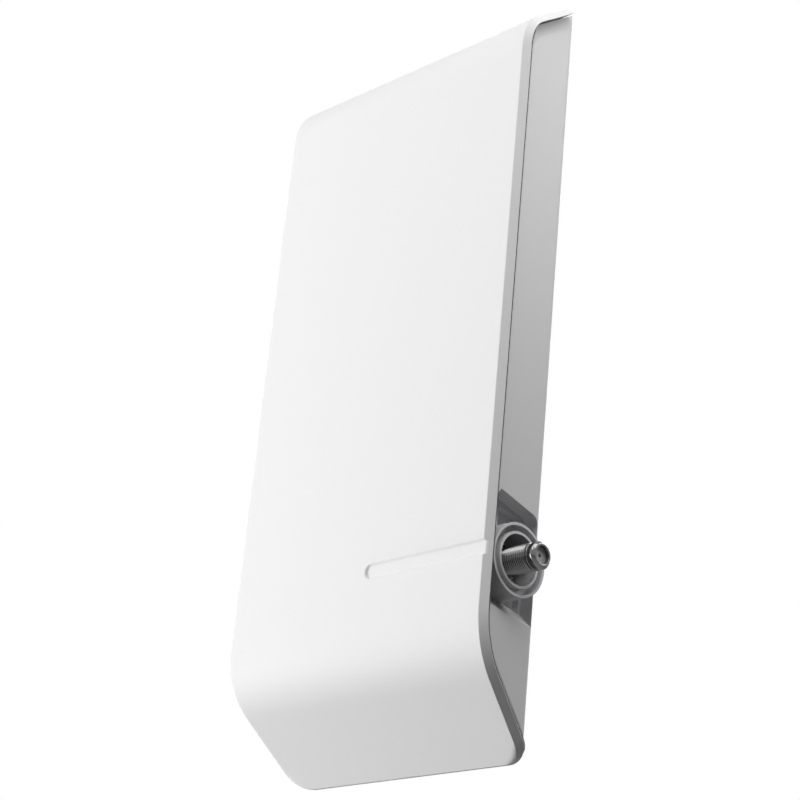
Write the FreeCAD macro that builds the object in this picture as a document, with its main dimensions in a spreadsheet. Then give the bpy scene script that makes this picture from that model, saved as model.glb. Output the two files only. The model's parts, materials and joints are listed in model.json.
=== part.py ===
"""Flat-panel outdoor television antenna: a bent cover on a drafted tray, with the antenna and its amplifier inside.

Millimetres. The origin is the middle of the bracket's four inserts on the flat back, +Z is up, the front faces -Y
and the coaxial connector points to +X. Every size is a cell of the sheet, and each feature is bound to the cells.
"""

import FreeCAD, Part
import math
import os
import re

import Sketcher

doc = FreeCAD.newDocument("outdoor_antenna")
sheet = doc.addObject("Spreadsheet::Sheet", "Sizes")

SIZES = {
    # Overall form
    "depth": 35.4,
    "front_width": 124.0,
    "side_draft": 11.6,
    "chin_bend": 113.0,
    "chin_angle": 42.3,
    "chin_bend_radius": 30.0,
    "top_bend": 119.7,
    "top_angle": 38.0,
    "top_bend_radius": 20.0,
    # Cover
    "cover_wall": 2.2,
    "cover_top_end": 4.9,
    "cover_corner": 11.0,
    "cover_top_corner": 3.0,
    "cover_bevel": 2.0,
    "strip_height": 5.8,
    "strip_depth": 0.8,
    "strip_start": 5.3,
    # Tray
    "cover_gap": 0.4,
    "panel_inset": 2.2,
    "rim_bevel": 1.4,
    "rim_bevel_run": 4.6,
    "tray_wall": 2.4,
    "back_wall": 2.6,
    "back_edge_round": 4.5,
    "mouth_margin": 11.0,
    "mouth_top": 102.0,
    "mouth_bottom": 92.0,
    "mouth_corner": 6.0,
    # Seal
    "seal_width": 2.0,
    "seal_groove": 1.4,
    "seal_margin": 2.4,
    # Connector pocket and boss
    "connector_drop": 80.0,
    "connector_setback": 16.2,
    "pocket_depth": 8.2,
    "pocket_wall": 2.2,
    "pocket_front": 4.8,
    "pocket_rim": 2.2,
    "pocket_above": 23.0,
    "pocket_below": 17.5,
    "pocket_corner": 4.0,
    "pocket_cut_corner": 3.7,
    "ceiling_fall": 1.6,
    "ledge_depth": 5.6,
    "ledge": 1.0,
    "ledge_front": 10.0,
    "ledge_back": 1.5,
    "recess_corner": 2.5,
    "boss_setback": 1.0,
    "boss_radius": 12.6,
    "boss_ring_wall": 0.9,
    "boss_groove_depth": 3.2,
    "well_radius": 8.7,
    "well_depth": 10.0,
    "well_floor": 4.3,
    # Coaxial connector
    "thread_radius": 4.7625,
    "thread_clearance": 0.1,
    "shank_radius": 4.2,
    "thread_start": 0.6,
    "barrel_reach": 9.2,
    "nose_length": 2.6,
    "nose_chamfer": 0.9,
    "relief_length": 1.2,
    "relief_depth": 0.55,
    "bore_radius": 3.1,
    "flange_radius": 7.0,
    "flange_length": 2.0,
    "seat_margin": 0.6,
    "insulator_recess": 1.4,
    "insulator_lip": 1.0,
    "insulator_hole": 0.7,
    "contact_radius": 1.1,
    "contact_bore": 0.65,
    "contact_bore_depth": 9.0,
    "tail_radius": 0.45,
    "tail_length": 4.3,
    "nut_across": 11.0,
    "nut_length": 2.4,
    "washer_radius": 6.4,
    "washer_wall": 0.5,
    "gasket_wall": 1.2,
    # Cover screws
    "screw_margin": 15.5,
    "screw_top": 96.0,
    "screw_middle": 5.0,
    "screw_low_left": 86.0,
    "screw_low_right": 40.0,
    "screw_tube_radius": 4.2,
    "screw_tube_height": 12.0,
    "screw_sink": 8.0,
    "screw_sink_radius": 3.2,
    "cover_post_radius": 3.6,
    "screw_radius": 1.5,
    "screw_play": 0.1,
    "screw_grip": 11.0,
    "screw_head_radius": 2.8,
    "screw_head": 2.0,
    # Bracket inserts
    "bracket_width": 40.0,
    "bracket_height": 60.0,
    "insert_bore": 2.5,
    "insert_radius": 3.5,
    "insert_length": 9.0,
    "insert_boss_radius": 5.6,
    "insert_boss_floor": 2.0,
    "drain_radius": 1.5,
    "drain_column": 25.0,
    "drain_margin": 5.0,
    # Reflector and antenna board
    "reflector_gap": 1.3,
    "reflector_top": 118.0,
    "reflector_bottom": 46.0,
    "reflector_sheet": 1.0,
    "reflector_fold": 7.0,
    "reflector_seat": 3.6,
    "hole_play": 0.6,
    "antenna_gap": 2.0,
    "antenna_top": 98.0,
    "antenna_bottom": 46.0,
    "antenna_setback": 20.0,
    "board_wall": 1.6,
    "post_margin": 6.0,
    "post_top": 84.0,
    "post_gap": 1.0,
    "post_radius": 4.0,
    "post_pin_radius": 2.8,
    "post_pin_gap": 0.5,
    "spacer_radius": 4.2,
    "spacer_play": 0.1,
    "board_screw_radius": 1.4,
    "board_screw_length": 6.0,
    "board_screw_head_radius": 2.6,
    "board_screw_head": 1.8,
    # Dipoles and feed
    "foil": 0.3,
    "dipole_margin": 2.0,
    "dipole_gap": 5.0,
    "dipole_root": 8.0,
    "dipole_tip": 46.0,
    "upper_dipole_height": 58.0,
    "lower_dipole_height": -8.0,
    "line_width": 3.0,
    "line_column": 3.5,
    "strip_sheet": 0.4,
    "strip_lap": 8.0,
    "strip_knee": 2.0,
    # Amplifier
    "amplifier_left": -14.0,
    "amplifier_gap": 1.5,
    "amplifier_top": 56.0,
    "amplifier_bottom": 106.0,
    "amplifier_hole_inset": 4.0,
    "amplifier_post_radius": 3.2,
    "shield_left": 7.0,
    "shield_margin": 5.0,
    "shield_top": 67.0,
    "shield_bottom": 99.0,
    "shield_height": 7.0,
    "shield_sheet": 0.6,
    "lid_skirt": 3.0,
    "lid_play": 0.1,
    "chip_side": 6.0,
    "chip_height": 1.4,
    "coil_radius": 2.4,
    "coil_wall": 0.7,
    "coil_length": 5.0,
    "coil_spacing": 8.0,
    "balun_width": 7.0,
    "balun_height": 6.0,
    "balun_length": 8.0,
    "balun_bore": 1.0,
    # Overshoot of cutting profiles
    "spare": 10.0,
}
for row, (alias, size) in enumerate(SIZES.items(), start=1):
    sheet.set(f"A{row}", alias.replace("_", " "))
    sheet.set(f"B{row}", str(size))
    sheet.setAlias(f"B{row}", alias)
doc.recompute()


# Expressions: a text in sheet words becomes a bound expression or a number
def cells(text):
    """Turns each word that is a size of the sheet into a reference to its cell."""
    return re.sub(r"[a-z_]+", lambda word: f"Sizes.{word[0]}" if word[0] in SIZES else word[0], text)


def value(text):
    return float(sheet.evalExpression(cells(text)))


def bind(thing, **sizes):
    """Binds each named property to an expression; Placement parts are named at_x, at_y and at_z."""
    for name, text in sizes.items():
        path = f"Placement.Base.{name[-1]}" if name.startswith("at_") else name
        thing.setExpression(path, cells(text))
    return thing


# Sketches: outlines whose every corner is held by two expressions
def new_body(name):
    body = doc.addObject("PartDesign::Body", name)
    body.AllowCompound = True
    return body


def new_sketch(owner, name, plane, shift="0"):
    """Sketch on one of the body's own planes, moved along that plane's normal."""
    support = next(feature for feature in owner.Origin.OriginFeatures if feature.Role == plane)
    sketch = owner.newObject("Sketcher::SketchObject", name)
    sketch.AttachmentSupport = (support, [""])
    sketch.MapMode = "FlatFace"
    sketch.setExpression("AttachmentOffset.Base.z", cells(shift))
    return sketch


def hold(sketch, kind, where, text):
    index = sketch.addConstraint(Sketcher.Constraint(kind, *where, value(text)))
    sketch.setExpression(f"Constraints[{index}]", cells(text))


def crown(start, end, radius, bulge):
    """Middle point of the arc of that radius from start to end that bulges to the given side."""
    chord = end - start
    across = FreeCAD.Vector(-chord.y, chord.x, 0).normalize()
    if across.dot(FreeCAD.Vector(*bulge, 0)) < 0:
        across = across.negative()
    rise = radius - math.sqrt(radius**2 - (chord.Length / 2) ** 2)
    return (start + end) * 0.5 + across * rise


def draw_outline(sketch, chain):
    """Closed outline. Each corner is (u, v) or, where an arc leads to the next corner, (u, v, radius, bulge)."""
    spots = [FreeCAD.Vector(value(corner[0]), value(corner[1]), 0) for corner in chain]
    edges = []
    for corner, start, end in zip(chain, spots, spots[1:] + spots[:1]):
        curve = Part.LineSegment(start, end)
        if len(corner) == 4:
            curve = Part.Arc(start, crown(start, end, value(corner[2]), corner[3]), end)
        edge = sketch.addGeometry(curve, False)
        turned = (sketch.getPoint(edge, 1) - start).Length > (sketch.getPoint(edge, 2) - start).Length
        edges.append((edge, (2, 1) if turned else (1, 2)))
    for (edge, ends), (after, after_ends) in zip(edges, edges[1:] + edges[:1]):
        sketch.addConstraint(Sketcher.Constraint("Coincident", edge, ends[1], after, after_ends[0]))
    for corner, (edge, ends) in zip(chain, edges):
        hold(sketch, "DistanceX", (-1, 1, edge, ends[0]), corner[0])
        hold(sketch, "DistanceY", (-1, 1, edge, ends[0]), corner[1])
        if len(corner) == 4:
            hold(sketch, "Radius", (edge,), corner[2])


def draw_circle(sketch, across, up, radius):
    centre = FreeCAD.Vector(value(across), value(up), 0)
    edge = sketch.addGeometry(Part.Circle(centre, FreeCAD.Vector(0, 0, 1), value(radius)), False)
    hold(sketch, "DistanceX", (-1, 1, edge, 3), across)
    hold(sketch, "DistanceY", (-1, 1, edge, 3), up)
    hold(sketch, "Radius", (edge,), radius)


def rounded_rectangle(left, right, low, high, radius):
    """Corners of a rectangle with four equal arcs."""
    return [
        (f"{left} + {radius}", low),
        (f"{right} - ({radius})", low, radius, (1, -1)),
        (right, f"{low} + {radius}"),
        (right, f"{high} - ({radius})", radius, (1, 1)),
        (f"{right} - ({radius})", high),
        (f"{left} + {radius}", high, radius, (-1, 1)),
        (left, f"{high} - ({radius})"),
        (left, f"{low} + {radius}", radius, (-1, -1)),
    ]


# Features: pads and pockets, each tested against the volume that it had to change
def extrude(owner, kind, name, sketch, length, both_ways=False, backwards=False):
    before = owner.Shape.Volume if owner.Tip else 0.0
    feature = owner.newObject(f"PartDesign::{kind}", name)
    feature.Profile = sketch
    feature.SideType = "Symmetric" if both_ways else "One side"
    feature.Reversed = backwards
    bind(feature, Length=length)
    doc.recompute()
    change = owner.Shape.Volume - before
    if change * (1 if kind == "Pad" else -1) <= 0:
        raise RuntimeError(f"{name} changes nothing")
    return feature


def pad(owner, name, sketch, length, **options):
    return extrude(owner, "Pad", name, sketch, length, **options)


def pocket(owner, name, sketch, length, **options):
    return extrude(owner, "Pocket", name, sketch, length, **options)


def round_edges(owner, name, edges, radius):
    """Fillet on edges of the body's present shape."""
    base = owner.Tip
    names = [f"Edge{i}" for i, edge in enumerate(base.Shape.Edges, start=1) if any(edge.isSame(e) for e in edges)]
    fillet = owner.newObject("PartDesign::Fillet", name)
    fillet.Base = (base, names)
    bind(fillet, Radius=radius)
    doc.recompute()
    return fillet


def bevel_edges(owner, name, edges, size, run=None):
    """Chamfer on edges of the body's present shape; with run, it reaches that far down the second face."""
    base = owner.Tip
    names = [f"Edge{i}" for i, edge in enumerate(base.Shape.Edges, start=1) if any(edge.isSame(e) for e in edges)]
    chamfer = owner.newObject("PartDesign::Chamfer", name)
    chamfer.Base = (base, names)
    bind(chamfer, Size=size)
    if run:
        chamfer.ChamferType = "Two distances"
        bind(chamfer, Size2=run)
    doc.recompute()
    return chamfer


def lies_along(edge, direction):
    """True for a straight edge in that direction."""
    if not isinstance(edge.Curve, Part.Line):
        return False
    return abs(edge.Curve.Direction.dot(FreeCAD.Vector(*direction))) > 0.999


# Primitives: blocks and rods placed by expressions
TURNS = {
    "+x": FreeCAD.Rotation(FreeCAD.Vector(0, 1, 0), 90),
    "-x": FreeCAD.Rotation(FreeCAD.Vector(0, 1, 0), -90),
    "+y": FreeCAD.Rotation(FreeCAD.Vector(1, 0, 0), -90),
    "-y": FreeCAD.Rotation(FreeCAD.Vector(1, 0, 0), 90),
    "+z": FreeCAD.Rotation(),
}


def rod(name, direction, at, radius, length):
    made = doc.addObject("Part::Cylinder", name)
    made.Placement = FreeCAD.Placement(FreeCAD.Vector(), TURNS[direction])
    return bind(made, Radius=radius, Height=length, at_x=at[0], at_y=at[1], at_z=at[2])


def block(name, low, size):
    made = doc.addObject("Part::Box", name)
    bind(made, Length=size[0], Width=size[1], Height=size[2])
    return bind(made, at_x=low[0], at_y=low[1], at_z=low[2])


def cut(name, base, tools):
    tool = tools[0]
    if len(tools) > 1:
        tool = doc.addObject("Part::MultiFuse", f"{name}_cutters")
        tool.Shapes = tools
    made = doc.addObject("Part::Cut", name)
    made.Base = base
    made.Tool = tool
    return made


def fuse(name, pieces):
    made = doc.addObject("Part::MultiFuse", name)
    made.Shapes = pieces
    return made


def group(name, pieces):
    made = doc.addObject("Part::Compound", name)
    made.Links = pieces
    return made


# The bent side profile: two bends between chin, front and top, all insets concentric
CHIN_Y = "(chin_bend_radius - depth)"
CHIN_Z = "(chin_bend_radius * tan(45 - chin_angle / 2) - chin_bend)"
TOP_Y = "(top_bend_radius - depth)"
TOP_Z = "(top_bend - top_bend_radius * tan(45 - top_angle / 2))"
FRONTWARD = (-1, 0)


def skin(inset, low_end, high_end):
    """Side profile at an inset from the outer surface, from its low end at one depth to its high end at another."""
    low = f"(chin_bend_radius - ({inset}))"
    high = f"(top_bend_radius - ({inset}))"
    low_y = f"({CHIN_Y} - {low} * sin(chin_angle))"
    low_z = f"({CHIN_Z} - {low} * cos(chin_angle))"
    high_y = f"({TOP_Y} - {high} * sin(top_angle))"
    high_z = f"({TOP_Z} + {high} * cos(top_angle))"
    return [
        (low_end, f"{low_z} - tan(chin_angle) * ({low_end} - {low_y})"),
        (low_y, low_z, low, FRONTWARD),
        (f"{CHIN_Y} - {low}", CHIN_Z),
        (f"{TOP_Y} - {high}", TOP_Z, high, FRONTWARD),
        (high_y, high_z),
        (high_end, f"{high_z} + tan(top_angle) * ({high_end} - {high_y})"),
    ]


def backwards(chain):
    """The same corners and arcs in the opposite order."""
    corners = [corner[:2] for corner in chain]
    arcs = [corner[2:] for corner in chain]
    return [a + b for a, b in zip(corners[::-1], arcs[-2::-1] + [()])]


def side_line(inset, y):
    """Half width at depth y of the drafted side plane at an inset from the cover's lip."""
    return f"(front_width / 2 - ({inset}) - tan(side_draft) * (depth + {y}))"


def trim_sides(owner, name, inset):
    """Cuts a body off at the two drafted side planes."""
    front = "-depth - spare"
    back = "spare"
    outside = "front_width / 2 + 2 * spare"
    sketch = new_sketch(owner, f"{name}_outline", "XY_Plane")
    for sign in ("", "-"):
        draw_outline(sketch, [
            (f"{sign}{side_line(inset, front)}", front),
            (f"{sign}{side_line(inset, back)}", back),
            (f"{sign}({outside})", back),
            (f"{sign}({outside})", front),
        ])
    return pocket(owner, name, sketch, "4 * (top_bend + chin_bend)", both_ways=True)


TRAY_INSET = "(cover_wall + cover_gap)"
VOID_INSET = f"({TRAY_INSET} + tray_wall)"
BACK = "0"
COVER_LOW_END = "(-cover_wall * sin(chin_angle))"
CONNECTOR_Y = "(connector_setback - depth)"
CONNECTOR_Z = "(-connector_drop)"
BOSS_END = "(front_width / 2 - boss_setback)"
BARREL_END = "(front_width / 2 + barrel_reach)"
WELL_X = f"({BOSS_END} - well_depth)"
SEAT_X = f"({WELL_X} - well_floor)"
FLANGE_X = f"({SEAT_X} - gasket_wall)"
CONNECTOR_BACK = f"({FLANGE_X} - flange_length)"
TAIL_END = f"({CONNECTOR_BACK} - tail_length)"
AMPLIFIER_RIGHT = f"({CONNECTOR_BACK} - amplifier_gap)"
SHIELD_RIGHT = f"({AMPLIFIER_RIGHT} - shield_margin)"
MOUTH_X = "(front_width / 2 - mouth_margin)"
SCREW_X = "(front_width / 2 - screw_margin)"
REFLECTOR_X = f"({SCREW_X} - screw_tube_radius - reflector_gap)"
ANTENNA_X = f"({REFLECTOR_X} - reflector_sheet - antenna_gap)"
POST_X = f"({ANTENNA_X} - post_margin)"
DIPOLE_X = f"({ANTENNA_X} - dipole_margin)"
THREAD_X = f"({WELL_X} + washer_wall + nut_length + thread_start)"
AMPLIFIER_FRONT = f"({CONNECTOR_Y} + tail_radius)"
AMPLIFIER_BACK = f"({AMPLIFIER_FRONT} + board_wall)"
BOARD_BACK = "(-antenna_setback)"
BOARD_FRONT = "(-antenna_setback - board_wall)"
SHEET_BACK = "(-back_wall - reflector_seat)"
SHEET_FRONT = f"({SHEET_BACK} - reflector_sheet)"
SCREW_PLACES = [
    (SCREW_X, "screw_top"),
    (f"-{SCREW_X}", "screw_top"),
    (SCREW_X, "screw_middle"),
    (f"-{SCREW_X}", "screw_middle"),
    (SCREW_X, "-screw_low_right"),
    (f"-{SCREW_X}", "-screw_low_left"),
]
POST_DROP = "(bracket_height / 2 + insert_boss_radius + spacer_radius + post_gap)"
INSERT_PLACES = [
    (f"{across}bracket_width / 2", f"{up}bracket_height / 2") for across in ("", "-") for up in ("", "-")
]
POST_PLACES = [(f"{across}{POST_X}", up) for across in ("", "-") for up in ("post_top", f"-{POST_DROP}")]
AMPLIFIER_PLACES = [
    (across, up)
    for across in ("amplifier_left + amplifier_hole_inset", f"{AMPLIFIER_RIGHT} - amplifier_hole_inset")
    for up in ("-amplifier_top - amplifier_hole_inset", "amplifier_hole_inset - amplifier_bottom")
]


# Front cover: a bent plate with rounded end corners, a soft edge, a shallow strip and six screw posts
def faces_forward(face):
    low_u, high_u, low_v, high_v = face.ParameterRange
    normal = face.normalAt((low_u + high_u) / 2, (low_v + high_v) / 2)
    return normal.y < -0.3 and abs(normal.x) < 0.1


def rim_edges(shape):
    """Edges that bound the outer skin of the plate."""
    edges = [edge for face in shape.Faces if faces_forward(face) for edge in face.Edges]
    return [edge for edge in edges if sum(edge.isSame(other) for other in edges) == 1]


def corner_edges(shape, upper):
    """Short edges at the upper or the lower two corners of the plate, as long as the plate is thick."""
    short = [edge for edge in shape.Edges if edge.Length < 1.2 * value("cover_wall")]
    return [edge for edge in short if (edge.CenterOfMass.z > 0) == upper]


def make_front_cover():
    cover = new_body("front_cover")
    profile = new_sketch(cover, "cover_profile", "YZ_Plane")
    low_end = COVER_LOW_END
    high_end = "-cover_top_end"
    outer = skin("0", low_end, high_end)
    inner = skin("cover_wall", BACK, f"{high_end} + cover_wall * sin(top_angle)")
    draw_outline(profile, outer + backwards(inner))
    pad(cover, "cover_plate", profile, "front_width + 2 * spare", both_ways=True)
    trim_sides(cover, "cover_sides", "0")
    round_edges(cover, "chin_corners", corner_edges(cover.Tip.Shape, False), "cover_corner")
    round_edges(cover, "top_corners", corner_edges(cover.Tip.Shape, True), "cover_top_corner")
    bevel_edges(cover, "cover_lip", rim_edges(cover.Tip.Shape), "cover_bevel")

    strip = new_sketch(cover, "strip_outline", "XZ_Plane", "depth + spare")
    low = f"{CONNECTOR_Z} - strip_height / 2"
    high = f"{CONNECTOR_Z} + strip_height / 2"
    end = "front_width / 2 + spare"
    draw_outline(strip, [
        ("strip_start + strip_height / 2", high, "strip_height / 2", (-1, 1)),
        ("strip_start", CONNECTOR_Z, "strip_height / 2", (-1, -1)),
        ("strip_start + strip_height / 2", low),
        (end, low),
        (end, high),
    ])
    pocket(cover, "strip_recess", strip, "spare + strip_depth")

    posts = new_sketch(cover, "post_outlines", "XZ_Plane", "screw_tube_height")
    pilots = new_sketch(cover, "pilot_outlines", "XZ_Plane", "screw_tube_height")
    for across, up in SCREW_PLACES:
        draw_circle(posts, across, up, "cover_post_radius")
        draw_circle(pilots, across, up, "screw_radius + screw_play / 2")
    pad(cover, "screw_posts", posts, "depth - screw_tube_height - cover_wall / 2")
    pocket(cover, "screw_pilots", pilots, "screw_grip + 1", backwards=True)
    return cover


# Rear housing: a drafted tray with a rim band outside, a sealed mouth, bosses, and the connector's pocket
def round_chin(owner, name, inset):
    """Cuts a body's lower end to an outline at an inset from the cover's, square to the chin and concentric."""
    sketch = new_sketch(owner, f"{name}_outline", "XZ_Plane", "depth")
    sketch.AttachmentOffset = FreeCAD.Placement(FreeCAD.Vector(), FreeCAD.Rotation(FreeCAD.Vector(1, 0, 0), -90))
    sketch.setExpression("AttachmentOffset.Base.y", cells("-chin_bend"))
    sketch.setExpression("AttachmentOffset.Rotation.Angle", cells("90 + chin_angle"))
    sketch.setExpression("AttachmentOffset.Rotation.Axis.x", "-1")
    lean = "(tan(side_draft) * cos(chin_angle))"
    stretch = f"sqrt(1 + {lean} * {lean})"
    end = f"((depth + {COVER_LOW_END}) / cos(chin_angle))"
    radius = f"(cover_corner - ({inset}))"
    middle_v = f"({end} - cover_corner)"
    middle_u = f"(front_width / 2 - {lean} * {middle_v} - cover_corner * {stretch})"
    reach = f"{end} - ({inset})"
    side_u = f"({middle_u} + {radius} / {stretch})"
    side_v = f"{middle_v} + {radius} * {lean} / {stretch}"
    draw_outline(sketch, [
        (f"-{side_u}", side_v, radius, (-1, 1)),
        (f"-{middle_u}", reach),
        (middle_u, reach, radius, (1, 1)),
        (side_u, side_v),
        (f"{side_u} + 2 * spare", side_v),
        (f"{side_u} + 2 * spare", f"{end} + 2 * spare"),
        (f"-({side_u} + 2 * spare)", f"{end} + 2 * spare"),
        (f"-({side_u} + 2 * spare)", side_v),
    ])
    return pocket(owner, name, sketch, "4 * depth", both_ways=True)


def make_tray_void():
    """The room inside the tray, with the block left standing in which the connector's pocket is sunk."""
    void = new_body("tray_void")
    profile = new_sketch(void, "void_profile", "YZ_Plane")
    draw_outline(profile, skin(VOID_INSET, "-back_wall", "-back_wall"))
    pad(void, "void_block", profile, "front_width + 2 * spare", both_ways=True)
    trim_sides(void, "void_sides", "panel_inset + tray_wall")
    round_chin(void, "void_chin", "panel_inset + tray_wall")
    notch = new_sketch(void, "notch_outline", "XY_Plane", f"{CONNECTOR_Z} - pocket_below - pocket_wall")
    inset = "panel_inset + pocket_depth + pocket_wall"
    front = "-depth"
    back = "spare"
    outside = "front_width / 2 + spare"
    draw_outline(notch, [
        (side_line(inset, front), front),
        (side_line(inset, back), back),
        (outside, back),
        (outside, front),
    ])
    pocket(void, "notch", notch, "pocket_below + pocket_above + 2 * pocket_wall", backwards=True)
    return void


def make_rear_housing():
    housing = new_body("rear_housing")
    profile = new_sketch(housing, "tray_profile", "YZ_Plane")
    draw_outline(profile, skin(TRAY_INSET, BACK, BACK))
    pad(housing, "tray_block", profile, "front_width + 2 * spare", both_ways=True)
    trim_sides(housing, "tray_sides", "panel_inset")
    front_edges = [edge for edge in rim_edges(housing.Tip.Shape) if not lies_along(edge, (1, 0, 0))]
    bevel_edges(housing, "rim_bevels", front_edges, "rim_bevel", "rim_bevel_run")
    back_edges = [
        edge for edge in housing.Tip.Shape.Edges if lies_along(edge, (0, 0, 1)) and abs(edge.CenterOfMass.y) < 0.01
    ]
    round_edges(housing, "back_edges", back_edges, "back_edge_round")
    round_chin(housing, "tray_chin", "panel_inset")

    cut_body(housing, "tray_hollow", make_tray_void())

    mouth = new_sketch(housing, "mouth_outline", "XZ_Plane", "depth + spare")
    draw_outline(mouth, rounded_rectangle(
        f"-{MOUTH_X}", MOUTH_X, "-mouth_bottom", "mouth_top", "mouth_corner"))
    pocket(housing, "mouth", mouth, f"spare + {VOID_INSET} + tray_wall")
    add_back_bosses(housing)
    add_connector_pocket(housing)

    groove = new_sketch(housing, "groove_outline", "XZ_Plane", "depth + spare")
    draw_seal_ring(groove)
    pocket(housing, "seal_groove_cut", groove, f"spare + {TRAY_INSET} + seal_groove")
    return housing


def draw_seal_ring(sketch):
    """Two nested rounded rectangles round the mouth."""
    for grow in ("seal_margin", "(seal_margin + seal_width)"):
        draw_outline(sketch, rounded_rectangle(
            f"-{MOUTH_X} - {grow}",
            f"{MOUTH_X} + {grow}",
            f"-mouth_bottom - {grow}",
            f"mouth_top + {grow}",
            f"(mouth_corner + {grow})",
        ))


def add_back_bosses(housing):
    """Screw tubes, insert bosses and board posts on the back wall, with their bores and the drain holes."""
    def circles(name, places, radius, shift="0"):
        sketch = new_sketch(housing, name, "XZ_Plane", shift)
        for across, up in places:
            draw_circle(sketch, across, up, radius)
        return sketch

    tubes = circles("tube_outlines", SCREW_PLACES, "screw_tube_radius", "back_wall / 2")
    pad(housing, "screw_tubes", tubes, "screw_tube_height - back_wall / 2")
    bosses = circles("boss_outlines", INSERT_PLACES, "insert_boss_radius", "back_wall / 2")
    pad(housing, "insert_bosses", bosses, "insert_length + insert_boss_floor - back_wall / 2")
    seats = circles("seat_outlines", POST_PLACES, "post_radius", "back_wall / 2")
    pad(housing, "reflector_seats", seats, "back_wall / 2 + reflector_seat")
    pins = circles("pin_outlines", POST_PLACES, "post_pin_radius", "back_wall")
    pad(housing, "board_pins", pins, "antenna_setback - post_pin_gap - back_wall")
    amplifier_posts = circles("amplifier_post_outlines", AMPLIFIER_PLACES, "amplifier_post_radius", "back_wall / 2")
    pad(housing, "amplifier_posts", amplifier_posts, f"-{AMPLIFIER_BACK} - back_wall / 2")

    sinks = circles("sink_outlines", SCREW_PLACES, "screw_sink_radius")
    pocket(housing, "screw_sinks", sinks, "screw_sink", backwards=True)
    holes = circles("hole_outlines", SCREW_PLACES, "screw_radius + screw_play")
    pocket(housing, "screw_holes", holes, "screw_tube_height + 1", backwards=True)
    sockets = circles("socket_outlines", INSERT_PLACES, "insert_radius")
    pocket(housing, "insert_sockets", sockets, "insert_length", backwards=True)
    pilots = circles("pin_pilot_outlines", POST_PLACES, "board_screw_radius + screw_play / 2", "antenna_setback")
    pocket(housing, "pin_pilots", pilots, "board_screw_length")
    amplifier_pilots = circles(
        "amplifier_pilot_outlines", AMPLIFIER_PLACES, "board_screw_radius + screw_play / 2", f"-{AMPLIFIER_BACK}")
    pocket(housing, "amplifier_pilots", amplifier_pilots, "board_screw_length")
    drain_z = f"{skin(VOID_INSET, '-back_wall', '-back_wall')[0][1]} + drain_margin"
    drains = circles("drain_outlines", [("drain_column", drain_z), ("-drain_column", drain_z)], "drain_radius")
    pocket(housing, "drain_holes", drains, "back_wall + 1", backwards=True)


POCKET_FRONT = "(pocket_front - depth)"
POCKET_LOW = f"({CONNECTOR_Z} - pocket_below)"
POCKET_HIGH = f"({CONNECTOR_Z} + pocket_above)"
CEILING_BACK = f"({POCKET_HIGH} - ceiling_fall)"


def make_room(name, chain, depth_below):
    """Room sunk into the right side: an outline seen from that side, with its floor parallel to the drafted panel."""
    room = new_body(name)
    outline = new_sketch(room, f"{name}_outline", "YZ_Plane", "front_width / 4")
    draw_outline(outline, chain)
    pad(room, f"{name}_block", outline, "front_width / 4 + spare")
    floor = new_sketch(room, f"{name}_floor", "XY_Plane")
    inset = f"panel_inset + {depth_below}"
    ahead = "-depth - spare"
    behind = "spare"
    draw_outline(floor, [
        (side_line(inset, ahead), ahead),
        (side_line(inset, behind), behind),
        ("0", behind),
        ("0", ahead),
    ])
    pocket(room, f"{name}_floor_cut", floor, "4 * chin_bend", both_ways=True)
    return room


def make_step_room():
    """Outer step of the pocket: a cut front corner, a ceiling that falls to the back and a ramp at the bottom."""
    back = "-pocket_rim"
    room = make_room("step_room", [
        (POCKET_FRONT, POCKET_LOW),
        (back, POCKET_LOW),
        (back, f"{CEILING_BACK} - pocket_corner", "pocket_corner", (1, 1)),
        (f"{back} - pocket_corner", CEILING_BACK),
        (f"{POCKET_FRONT} + pocket_cut_corner", POCKET_HIGH),
        (POCKET_FRONT, f"{POCKET_HIGH} - pocket_cut_corner"),
    ], "ledge_depth")
    low = value(POCKET_LOW)
    inner_edges = [
        edge for edge in room.Tip.Shape.Edges
        if abs(edge.BoundBox.ZMax - low) < 0.01 and edge.BoundBox.XMax < value(side_line("panel_inset", POCKET_FRONT))
        and edge.BoundBox.YLength > 1
    ]
    bevel_edges(room, "pocket_ramp", inner_edges, "ledge_depth")
    return room


def make_recess_room():
    """Inner recess of the pocket, inside a narrow ledge."""
    return make_room("recess_room", rounded_rectangle(
        f"({POCKET_FRONT} + ledge_front)",
        "(-pocket_rim - ledge_back)",
        f"({POCKET_LOW} + ledge_depth)",
        f"({CEILING_BACK} - ledge)",
        "recess_corner",
    ), "pocket_depth")


def cut_body(owner, name, tool):
    """Cuts one body out of another."""
    before = owner.Shape.Volume
    boolean = owner.newObject("PartDesign::Boolean", name)
    boolean.Type = "Cut"
    boolean.setObjects([tool])
    doc.recompute()
    if owner.Shape.Volume >= before:
        raise RuntimeError(f"{name} changes nothing")


def turn(owner, name, chain):
    """Turns a profile of (x, radius) corners about the connector's axis."""
    profile = new_sketch(owner, f"{name}_profile", "XY_Plane", CONNECTOR_Z)
    profile.setExpression("AttachmentOffset.Base.y", cells(CONNECTOR_Y))
    draw_outline(profile, chain)
    turned = owner.newObject("PartDesign::Revolution", name)
    turned.Profile = profile
    turned.ReferenceAxis = (profile, ["H_Axis"])
    doc.recompute()
    return turned


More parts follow.
